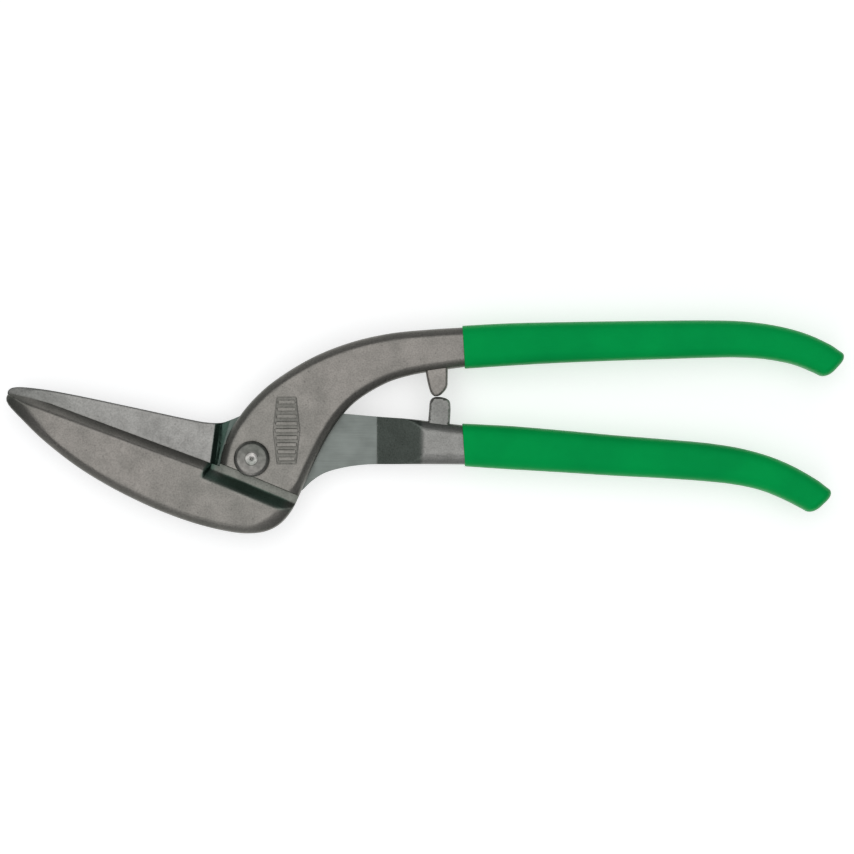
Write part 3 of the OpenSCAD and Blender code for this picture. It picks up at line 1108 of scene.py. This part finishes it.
    def build(self) -> bpy.types.Object:
        """Builds the lever and its stop as one piece.

        Returns:
            The piece, without its finishes.
        """
        cut, ch = self.cut, self.channel
        rows = self.cross_rows((-12.16, -12, -11.84), -28, 12)
        rows += self.cross_rows((44.2, 44.5, 44.8, 61.3, 62, 62.6), 22, 48)
        rows += [cut.row(s, -95, -13) for s in (0.12, 0.5, 1.1, 1.7, 2.1, 2.5, 2.9, 3.3, 3.7, 4.1)]
        rows += [ch.row(s, -17, 22) for s in (-0.3, -0.12, 0.0, 0.12, 0.3, 0.6, 2.6, 2.9, self.floor_w,
                                              3.7, 4.2, 6.2, 6.9, self.floor_w + self.slope_w, 7.9)]
        px, py, pw, ph = self.panel
        gx, gy = np.meshgrid(np.arange(-pw / 2 - 2, pw / 2 + 2, 0.28),
                             np.arange(-ph / 2 - 1.2, ph / 2 + 1.3, 0.28))
        fine = np.column_stack([gx.ravel() + px, gy.ravel() + py])
        plate = Plate(self.outline, self.top, self.bottom, self.stain_and_shade, rows, [fine], circle(self.bore_r, 96))
        mesh = Mesh()
        mesh.add(*plate.shell(self.zone))
        mesh.add(*self.stop(self.lug).shell(lambda c, up: np.zeros(len(c), int)))
        return mesh.build("lower_jaw_forging", self.place)

    def dress(self, obj: bpy.types.Object) -> None:
        """Gives the lever its finishes and its place in the model.

        Args:
            obj: the lever's piece.
        """
        dress(obj, BlastedForging("shot_blasted_forging_front", light="#8b8782", dark="#83807b"),
              GroundSteel("ground_lap_front", "#8c8a87", 0.36, 0))
        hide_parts("lower_jaw_lever")
        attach(obj, Body.FRONT.value)


@dataclass
class UpperJawLever(Forging):
    """The rear forging: slim upper jaw, lap behind the boss, and the lower handle bar."""

    cut: Line = Line(20.3, 8.8)
    bevel_w: float = 3.4
    land: float = 0.5
    jaw_fall: float = 1.2
    handle_edge_w: float = 4.1
    # the groove between the jaw and the lap lies between these two lines
    step: Points = ((-12.6, 20), (-15.3, -0.5), (-16.6, -10))
    groove: Points = ((-8, 15.5), (-11.9, 1.8), (-12.6, -8))

    crest: Points = (
        (-88.1, 23.2), (-88, 24.2), (-87, 25.2), (-84.5, 25.7), (-75.5, 24.9), (-64.7, 23), (-43.3, 18.5),
        (-21.9, 13.9), (-16.6, 13), (-11.2, 12.9), (-7.6, 14.1), (-3, 15.9), (4, 17.1), (16, 17.5),
        (30, 16.4), (46, 15), (57, 14.2), (66, 13.1),
    )
    heel: Points = (
        (65, -2), (50, -2), (40, -2.2), (31.7, -3.4), (25.5, -5.3), (21, -8.2), (17.6, -11.4),
        (13.8, -13.8), (9.4, -13),
    )
    lug: Points = (
        (62.8, 11), (63.3, 17), (63.8, 20.9), (65.2, 22.05), (68.9, 21.8), (70.6, 20.7), (71, 18.6),
        (70.6, 11),
    )

    def __post_init__(self) -> None:
        """Works out the outline and the edge that is rounded over."""
        bar, skin = LOWER_BAR, LOWER_BAR.dip
        upper, lower = bar.edge(1, -skin), bar.edge(-1, -skin)
        crest = smooth_path([*self.crest, upper[0]])[:-1]
        heel = smooth_path([lower[0], *self.heel])[1:]
        self.edge = np.vstack([heel[::-1], lower, bar.end(-skin, bar.cap - skin), upper[::-1], crest[::-1]])
        self.outline = np.vstack([self.cut.row(0, 4, 4)[:1], self.edge])

    def top(self, xy: np.ndarray) -> np.ndarray:
        """Gives the front face's height: shear face, step, lap face, ramp and handle.

        Args:
            xy: points in plan.

        Returns:
            The height of each.
        """
        x = xy[:, 0]
        shear = np.full_like(x, -self.lap_gap / 2)
        lap = np.full_like(x, -self.lap_d - self.lap_gap / 2)
        upper_step = side_of(xy, self.step[1], self.step[0])
        lower_step = side_of(xy, self.step[2], self.step[1])
        past_step = soft_min(upper_step, lower_step, 0.8)
        before_lap = -soft_max(side_of(xy, self.groove[1], self.groove[0]),
                               side_of(xy, self.groove[2], self.groove[1]), 0.8)
        jaw_side = soft_min(shear, shear - 1.5 * past_step, 0.3)
        lap_side = soft_min(lap, lap - 1.2 * before_lap, 0.12)
        z = soft_max(jaw_side, lap_side, 0.5)
        z = np.where(x > -5, lap, z)
        run = (x - self.ramp_x[0]) / (self.ramp_x[1] - self.ramp_x[0])
        slope = lap + (self.place.face - lap) * run
        past_neck = x > self.neck_x
        ramp = soft_min(np.full_like(x, self.place.face), soft_max(z, slope, 0.15), 0.4)
        z = np.where(past_neck, ramp, z)
        d = distance_to(xy, self.edge)
        z = np.where(past_neck, soft_min(z, self.place.face - self.drop(d, self.handle_edge_w), 0.3), z)
        # the jaw's crest and nose are eased, and the ground lap keeps a crisp edge
        nose = 1 - ease(x, -88, -76)
        crest = (0.4 + 0.5 * nose) * np.clip(1 - d / (0.6 + 4.5 * nose), 0, 1) ** 1.5
        return np.where(x < -5, np.maximum(z - crest * (1 - ease(x, -13, -8)), z - 2.4), z)

    def bottom(self, xy: np.ndarray) -> np.ndarray:
        """Gives the back face's height, with the bevel behind the cutting edge.

        Args:
            xy: points in plan.

        Returns:
            The height of each.
        """
        x = xy[:, 0]
        back = -self.place.back + self.jaw_fall * ease(-x, 18, 88)
        up = -self.cut.below(xy)
        bevel = -self.land + (back + self.land) * up / self.bevel_w
        z = np.where(self.cut.along(xy) < -12, soft_max(back, bevel, 0.35), back)
        d = distance_to(xy, self.edge)
        width = self.edge_w * (0.5 + 0.5 * ease(x, -88, -66))
        return np.minimum(soft_max(z, back + self.drop(d, width), 0.3), -self.land * 0.9 - 0.05)

    def zone(self, centre: np.ndarray, up: bool) -> np.ndarray:
        """Tells which faces are ground: the shear and lap faces, and the bevel behind.

        Args:
            centre: the faces' centres in plan.
            up: whether they face up.

        Returns:
            The material place of each.
        """
        if up:
            past_groove = side_of(centre, self.groove[1], self.groove[0]) > 0
            lap = (centre[:, 0] < self.ramp_x[0]) & past_groove
            return np.where(lap, Zone.GROUND.value, Zone.FORGED.value)
        bevel = (self.cut.along(centre) < -12) & (-self.cut.below(centre) < self.bevel_w - 0.15)
        return np.where(bevel, Zone.BEVEL.value, Zone.FORGED.value)

    def stain_and_shade(self, xy: np.ndarray) -> np.ndarray:
        """Gives the front face's painted shade, dark and tinted green: most in the groove, on the ramp and at
        the nose, some on the lap sliver and the handle's edge; the handle is a little darker and the lap a
        little greener too.

        Args:
            xy: points in plan.

        Returns:
            The share of each colour that gets through at each point.
        """
        x, y = xy.T
        past_step = side_of(xy, self.step[1], self.step[0])
        past_groove = side_of(xy, self.groove[1], self.groove[0])
        # painted shade: the groove, the lap sliver beside the boss, darker towards the bottom, the ramp, the
        # nose and the handle's edge
        groove = ease(past_step, -0.1, 0.3) * (1 - ease(past_groove, 0, 0.6))
        sliver = ease(past_groove, 0, 0.6) * (1 - ease(x, 2, 20))
        ramp = 0.88 * ease(x, 44.4, 44.6) * (1 - ease(x, 59.6, 62.4))
        nose = 0.28 * (1 - ease(x, -84, -50))
        far_side = 0.85 * groove * ease(past_step, 1.2, 2.4)
        edge = 0.4 * ease(x, 58, 62) * (1 - ease(distance_to(xy, self.edge), 0.4, 4.2))
        handle = 0.16 * ease(x, 58, 62)
        low = 0.8 * (1 - ease(y, 0, 9)) * sliver
        scale_and_shade = np.maximum.reduce([0.5 * groove, far_side, 0.2 * sliver, low, ramp, nose, edge, handle])
        lap = 0.14 * ease(x, 8, 20) * (1 - ease(x, 44.3, 44.5))
        oil_and_green_shade = np.maximum.reduce([0.8 * groove, 0.42 * sliver, lap])
        return stain_and_shade_of(scale_and_shade, oil_and_green_shade)

    def build(self) -> bpy.types.Object:
        """Builds the lever and its stop as one piece.

        Returns:
            The piece, without its finishes.
        """
        rows = [self.cut.row(-s, -95, -12) for s in (0.12, 0.5, self.bevel_w - 0.45, self.bevel_w - 0.15,
                                                     self.bevel_w + 0.15, self.bevel_w + 0.45)]
        for line in (self.step, self.groove):
            way = np.array(line)
            rows += [way + np.array([s, 0]) for s in (-0.3, 0.0, 0.25, 0.6, 1.2, 1.8, 2.4)]
        rows += self.cross_rows((44.2, 44.35, 44.5, 44.65, 44.9, 61.2, 61.6, 62, 62.4), -4, 17)
        plate = Plate(self.outline, self.top, self.bottom, self.stain_and_shade, rows, [], circle(self.bore_r, 96))
        mesh = Mesh()
        mesh.add(*plate.shell(self.zone))
        mesh.add(*self.stop(self.lug, 0.24).shell(lambda c, up: np.zeros(len(c), int)))
        return mesh.build("upper_jaw_forging", self.place)

    def dress(self, obj: bpy.types.Object) -> None:
        """Gives the lever its finishes and its place in the model.

        Args:
            obj: the lever's piece.
        """
        dress(obj, BlastedForging("shot_blasted_forging_rear", light="#979693", dark="#8e8d8a"),
              GroundSteel("ground_lap_rear", "#777a77", 0.4, 0),
              GroundSteel("ground_bevel_rear", "#7b7b79", 0.32, 110))
        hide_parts("upper_jaw_lever")
        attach(obj, Body.REAR.value)


@dataclass
class DippedGrip:
    """A dipped sleeve: a rounded box section along the bar, with a domed end and a rolled lip."""

    place: Place
    name: str
    bar: HandleBar
    node: str
    slot: str
    body: Body
    squareness: float = 3.1
    around: int = 26
    lip: float = 0.35
    skin: float = 0.76

    def section(self, half_w: float, high: float, low: float) -> np.ndarray:
        """Gives one cross section, a rounded box that bulges between its corners.

        Args:
            half_w: half its width.
            high: its top height.
            low: its bottom height.

        Returns:
            Points as across and height, anticlockwise.
        """
        a = np.linspace(0, 2 * math.pi, 4 * self.around, endpoint=False)
        power = 2 / self.squareness
        across = np.sign(np.cos(a)) * np.abs(np.cos(a)) ** power
        height = np.sign(np.sin(a)) * np.abs(np.sin(a)) ** power
        return np.column_stack([half_w * across, (high + low) / 2 + (high - low) / 2 * height])

    def tube(self, inset: float, cap: float) -> np.ndarray:
        """Lofts the section along the bar.

        Args:
            inset: how far the surface lies inside the dip's outer skin.
            cap: how far the rounded end bulges.

        Returns:
            Rings of vertices, as an array of ring, point and coordinate.
        """
        line, half = self.bar.centre()
        across = normals(line)
        run = np.concatenate([[0], np.cumsum(np.linalg.norm(np.diff(line, axis=0), axis=1))])
        rings = []
        for p, n, w, s in zip(line, across, half, run, strict=True):
            # the dip is a hair thinner near its rim, and its thickness drifts as it drains
            thin = 0.06 + (0.08 * math.exp(-s / 6) + 0.04 * math.sin(s / 17)) * (inset < 0.1)
            slant = self.bar.slant * ease(s, run[-1] - 9, run[-1])
            slant -= self.bar.mouth * (1 - ease(s, 0, 9))
            rings.append((p, n, w - inset - thin, inset + thin, 0.0, slant))
        body = rings[-1]
        for a in np.radians([10, 20, 30, 40, 49, 57, 64, 70, 75, 80, 84, 87]):
            back = (0.9 * cap + 1.2) * (1 - math.cos(a))
            rings.append((line[-1], across[-1], body[2] - back, body[3] + back,
                          (cap - 0.15) * math.sin(a), self.bar.slant))
        out = []
        for p, n, w, s, reach, slant in rings:
            sec = self.section(w, self.place.dip_face - s, -self.place.dip_back + s)
            ahead = reach + slant * (float(slant > 0) + sec[:, 0] / half[-1])
            out.append(np.column_stack([p + n * sec[:, :1] + ahead[:, None] * [n[1], -n[0]], sec[:, 1]]))
        return np.array(out)

    def build(self) -> bpy.types.Object:
        """Builds the sleeve: outer skin, rolled lip, inner skin and both end caps.

        Returns:
            The piece, without its finish.
        """
        outer, inner = self.tube(0, self.bar.cap), self.tube(self.skin, self.bar.cap - self.bar.dip)
        # the lip rolls over from the outer skin to the bar
        mid = (outer[0] + inner[0]) / 2
        roll = []
        for a in np.radians([0, 22, 45, 68, 90, 112, 135, 158, 180]):
            ring = mid + (outer[0] - mid) * math.cos(a)
            ring = ring - np.array([self.lip, 0, 0]) * math.sin(a)
            roll.append(ring)
        rings = np.concatenate([inner[::-1], np.array(roll)[::-1], outer[1:]])
        n = rings.shape[1]
        faces = []
        for i in range(len(rings) - 1):
            for k in range(n):
                j = (k + 1) % n
                faces.append((i * n + k, i * n + j, (i + 1) * n + j, (i + 1) * n + k))
        faces.append(tuple(range(n - 1, -1, -1)))
        faces.append(tuple((len(rings) - 1) * n + k for k in range(n)))
        mesh = Mesh()
        mesh.add(rings.reshape(-1, 3), faces, 0)
        return mesh.build(self.name, self.place, 60)

    def dress(self, obj: bpy.types.Object) -> None:
        """Gives the sleeve its finish and its place in the model."""
        dress(obj, DippedVinyl(f"dipped_vinyl_{self.name}"))
        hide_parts(self.node)
        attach(obj, self.body.value)


@dataclass
class PivotSet:
    """The bolt with its washer, nut and nylon ring, all turned or formed about the pivot's axis."""

    place: Place
    head_r: float = 6.4
    shank_r: float = 4.5
    thread_r: float = 3.95
    thread_pitch: float = 1.25
    nut_w: float = 13.0
    nut_h: float = 6.0
    bolt_tail: float = 0.8
    shank_end: float = 0.3
    # radius of the dimple's lighter steel, a painted highlight
    highlight_r: float = 2.2

    def turned(self, name: str, profile: Points, count: int = 128, wobble: Callable | None = None,
               crease: float = 38) -> bpy.types.Object:
        """Turns a profile into a piece of one material.

        Args:
            name: the piece's name.
            profile: radius and height of each point.
            count: points round the circle.
            wobble: gives the radius to use, as in lathe.
            crease: the angle in degrees above which an edge stays sharp.

        Returns:
            The piece.
        """
        mesh = Mesh()
        mesh.add(*lathe(profile, count, wobble), 0)
        return mesh.build(name, self.place, crease)

    def bolt(self) -> bpy.types.Object:
        """Builds the bolt: domed rim, flat annulus, drilled dimple, shank and rolled thread.

        Returns:
            The piece, without its finishes.
        """
        top, seat, low = self.place.head_top, self.place.face + 0.04, -self.place.tail
        head = [(self.head_r - 0.12, seat), (self.head_r - 0.02, seat + 0.12)]
        # radius and depth below the top: the rim's shoulder, the slightly domed annulus, the drilled dimple
        head += [(r, top - d) for r, d in (
            (6.38, 1.45), (6.3, 1.2), (6.15, 1.0), (5.95, 0.79), (5.7, 0.58), (5.45, 0.42), (5.3, 0.34),
            (5.1, 0.29), (4.7, 0.23), (4.2, 0.16), (3.6, 0.09), (3.1, 0.03), (2.8, 0.0), (2.55, 0.02),
            (2.35, 0.08), (2.1, 0.16), (1.6, 0.31), (1.1, 0.45), (0.8, 0.52), (0.6, 0.62), (0.54, 0.78),
            (0.5, 1.2), (0, 1.36),
        )]
        shank_low = -self.place.back + self.shank_end
        crest, root, p = self.thread_r, self.thread_r - 0.62 * self.thread_pitch, self.thread_pitch
        heights = np.arange(low + 0.02, shank_low, p / 10)

        def wobble(a: np.ndarray, r: float, z: float) -> np.ndarray:
            """Cuts the thread's helix into the shank's end, and fades it in at the tip.

            Args:
                a: angles round the axis.
                r: the profile's radius.
                z: the profile's height.

            Returns:
                The radius at each angle.
            """
            if z > shank_low - 0.01 or r < 3.2:
                return np.full(len(a), r)
            turn = np.abs(((z / p - a / (2 * math.pi)) % 1) * 2 - 1)
            height = np.clip((turn - 0.12) / 0.76, 0, 1)
            lead = min(1, (z - low) / 0.8)
            return np.minimum(crest - (crest - root) * (1 - height), crest - 0.5 * (1 - lead))

        thread = [(crest, z) for z in heights]
        profile = [(0, low + 0.02), (2.9, low + 0.02), *thread, (self.shank_r, shank_low),
                   (self.shank_r, shank_low + 0.4), (self.shank_r, seat), *head]
        verts, faces = lathe(profile, 144, wobble)
        # the dimple's faces take the lighter steel, a painted highlight
        middle = np.array([verts[list(f)].mean(axis=0) for f in faces])
        highlit_centre = (np.hypot(middle[:, 0], middle[:, 1]) < self.highlight_r) & (middle[:, 2] > top - 0.7)
        # painted shade: the annulus is darker on one side and the dimple on the other, as a light from one
        # side leaves them
        x, y, z = verts.T
        r = np.maximum(np.hypot(x, y), 0.5)
        outer = ease(r, self.highlight_r, self.highlight_r + 0.5)
        one_side_shade = outer * (0.3 + 0.3 * (0.34 * x + 0.94 * y) / r) + (1 - outer) * (0.3 - 0.3 * y / r)
        mesh = Mesh()
        mesh.add(verts, faces, highlit_centre.astype(int).tolist(), stain_and_shade_of(one_side_shade * (z > top - 1.6), 0 * r))
        return mesh.build("pivot_bolt_turned", self.place)

    def washer(self) -> bpy.types.Object:
        """Builds the conical spring washer, with rolled edges.

        Returns:
            The piece, without its finish.
        """
        base = -self.place.tail + self.bolt_tail + self.nut_h + 0.04
        profile = [(4.2, base + 0.03), (7.7, base + 0.2), (7.9, base + 0.3), (7.96, base + 0.5),
                   (7.95, base + 0.78), (7.85, base + 0.88), (7.7, base + 0.91), (4.4, base + 0.78),
                   (4.25, base + 0.72), (4.15, base + 0.55), (4.12, base + 0.2)]
        return self.turned("disc_spring_washer", profile)

    def nut(self) -> bpy.types.Object:
        """Builds the hexagon nut with its crimped collar and its chamfered corners.

        Returns:
            The piece, without its finish.
        """
        low = -self.place.tail + self.bolt_tail
        high = low + self.nut_h
        corner = self.nut_w / 2 / math.cos(math.radians(30))

        def hexagon(a: np.ndarray, r: float, z: float) -> np.ndarray:
            """Cuts the six flats, with corners that are a little blunt, and leaves the collar round.

            Args:
                a: angles round the axis.
                r: the profile's radius.
                z: the profile's height, not used.

            Returns:
                The radius at each angle.
            """
            if r < self.nut_w / 2 - 0.8:
                return np.full(len(a), r)
            turn = (a - math.radians(15)) % math.radians(60) - math.radians(30)
            flat = self.nut_w / 2 / np.cos(turn)
            return np.minimum(np.minimum(flat, corner - 0.12), r)

        profile = [(4.05, low + 1.6), (4.9, low + 1.6), (4.88, low + 0.25), (5.0, low + 0.08),
                   (5.2, low + 0.02), (5.45, low + 0.1), (5.6, low + 0.35), (5.68, low + 0.9),
                   (5.72, low + 1.35)]
        profile += [(r, low + 1.35 + 0.55 * (r - 5.72)) for r in np.linspace(5.9, corner + 0.05, 9)]
        profile += [(corner + 0.05, z) for z in np.linspace(low + 2.6, high - 0.75, 4)]
        profile += [(r, high - 0.58 * (r - 6.2) - 0.02) for r in np.linspace(corner + 0.05, 6.2, 9)]
        profile += [(5.9, high), (4.5, high), (4.2, high - 0.15), (4.05, high - 0.4)]
        return self.turned("thin_lock_nut", profile, 240, hexagon, 28)

    def ring(self) -> bpy.types.Object:
        """Builds the nylon ring that the crimped collar holds."""
        low = -self.place.tail + self.bolt_tail + 0.15
        profile = [(4.02, low + 0.25), (4.1, low + 0.08), (4.35, low), (4.6, low + 0.03), (4.8, low + 0.15),
                   (4.85, low + 0.4), (4.85, low + 1.3), (4.02, low + 1.3)]
        return self.turned("nylon_insert", profile)

    def build_and_dress(self) -> list[bpy.types.Object]:
        """Builds the four pieces and gives each its finish and its place in the model.

        Returns:
            The pieces.
        """
        centre = (self.place.x, self.place.y)
        # the bolt's second steel is lighter: a painted highlight in its dimple
        bolt_steel = (TurnedSteel("turned_bolt_steel", "#85837f", 0.36, 0.55, centre),
                      TurnedSteel("bolt_centre_painted_highlight", "#c9c6c2", 0.3, 0.4, centre))
        plan = (
            (self.bolt(), bolt_steel, "pivot_bolt", "bolt"),
            (self.washer(), (TurnedSteel("hardened_spring_steel", "#7f7f80", 0.3, 0.8, centre),),
             "spring_washer", "washer"),
            (self.nut(), (TurnedSteel("zinc_plated_steel", "#a4a5a2", 0.28, 0.7, centre),),
             "lock_nut", "nut"),
            (self.ring(), (Moulded("moulded_nylon"),), "lock_ring", "ring"),
        )
        for obj, finishes, node, slot in plan:
            dress(obj, *finishes)
            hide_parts(node)
            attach(obj, Body.REAR.value)
        return [row[0] for row in plan]


@dataclass
class Studio:
    """The pale floor, the lights and the camera that looks straight down on the snips."""

    place: Place
    height: float = 0.95
    view_w: float = 0.305
    aim: tuple[float, float] = (62.57, 11.36)
    glow: float = 0.5
    floor_half: float = 1.6

    def light(self, name: str, at: tuple[float, float, float], size: tuple[float, float], watts: float,
              towards: tuple[float, float, float]) -> None:
        """Hangs one soft box.

        Args:
            name: its name.
            at: where it hangs, in metres.
            size: its width and height in metres.
            watts: its power.
            towards: the point it faces.
        """
        data = bpy.data.lights.new(name, "AREA")
        data.shape, data.size, data.size_y, data.energy = "RECTANGLE", *size, watts
        obj = bpy.data.objects.new(name, data)
        obj.location = at
        obj.rotation_euler = (Vector(at) - Vector(towards)).to_track_quat("Z", "Y").to_euler()
        bpy.context.scene.collection.objects.link(obj)

    def build(self) -> None:
        """Sets up the floor, the lights, the world and the camera."""
        low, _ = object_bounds()
        cx, cy = self.place.x + self.aim[0] * MM, self.place.y + self.aim[1] * MM
        half = self.floor_half
        mesh = bpy.data.meshes.new("floor")
        mesh.from_pydata([(cx - half, cy - half, low[2]), (cx + half, cy - half, low[2]),
                          (cx + half, cy + half, low[2]), (cx - half, cy + half, low[2])], [], [(0, 1, 2, 3)])
        floor = bpy.data.objects.new("floor", mesh)
        bpy.context.scene.collection.objects.link(floor)
        dress(floor, Moulded("opal_acrylic_light_table", "#dedede", 0.7, 3.0))
        glow = floor.data.materials[0].node_tree.nodes["Principled BSDF"]
        glow.inputs["Emission Color"].default_value = linear("#ffffff")
        glow.inputs["Emission Strength"].default_value = self.glow
        floor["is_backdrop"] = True
        self.light("overhead_box", (cx - 0.05, cy + 0.1, 1.3), (1.9, 1.9), 14.5, (cx, cy, 0))
        self.light("window_box", (cx - 0.3, cy - 1.25, 0.8), (0.9, 0.5), 2.5, (cx, cy, 0))
        world = bpy.data.worlds.new("room")
        world.use_nodes = True
        world.node_tree.nodes["Background"].inputs["Color"].default_value = linear("#8a8c8e")
        world.node_tree.nodes["Background"].inputs["Strength"].default_value = 0.8
        bpy.context.scene.world = world
        bpy.context.scene.view_settings.view_transform = "Standard"
        camera = bpy.data.cameras.new("camera")
        camera.angle = 2 * math.atan(self.view_w / 2 / self.height)
        obj = bpy.data.objects.new("camera", camera)
        obj.location = (cx, cy, self.place.z + self.place.face * MM + self.height)
        bpy.context.scene.collection.objects.link(obj)
        bpy.context.scene.camera = obj


def report(obj: bpy.types.Object) -> None:
    """Logs one piece's name and size."""
    size = " x ".join(f"{s / MM:.1f}" for s in obj.dimensions)
    log.info("%s: %s mm, %d faces", obj.name, size, len(obj.data.polygons))


def main() -> None:
    """Builds every sub-assembly in order and reports each piece."""
    logging.basicConfig(level=logging.INFO, format="%(name)s %(message)s")
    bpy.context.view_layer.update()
    place = Place.from_frame()
    for lever in (LowerJawLever(place), UpperJawLever(place)):
        piece = lever.build()
        lever.dress(piece)
        report(piece)
    for grip in (
        DippedGrip(place, "upper_dip", UPPER_BAR, "upper_grip", "dip_upper", Body.FRONT),
        DippedGrip(place, "lower_dip", LOWER_BAR, "lower_grip", "dip_lower", Body.REAR),
    ):
        piece = grip.build()
        grip.dress(piece)
        report(piece)
    for piece in PivotSet(place).build_and_dress():
        report(piece)
    Studio(place).build()


if __name__ == "__main__":
    main()
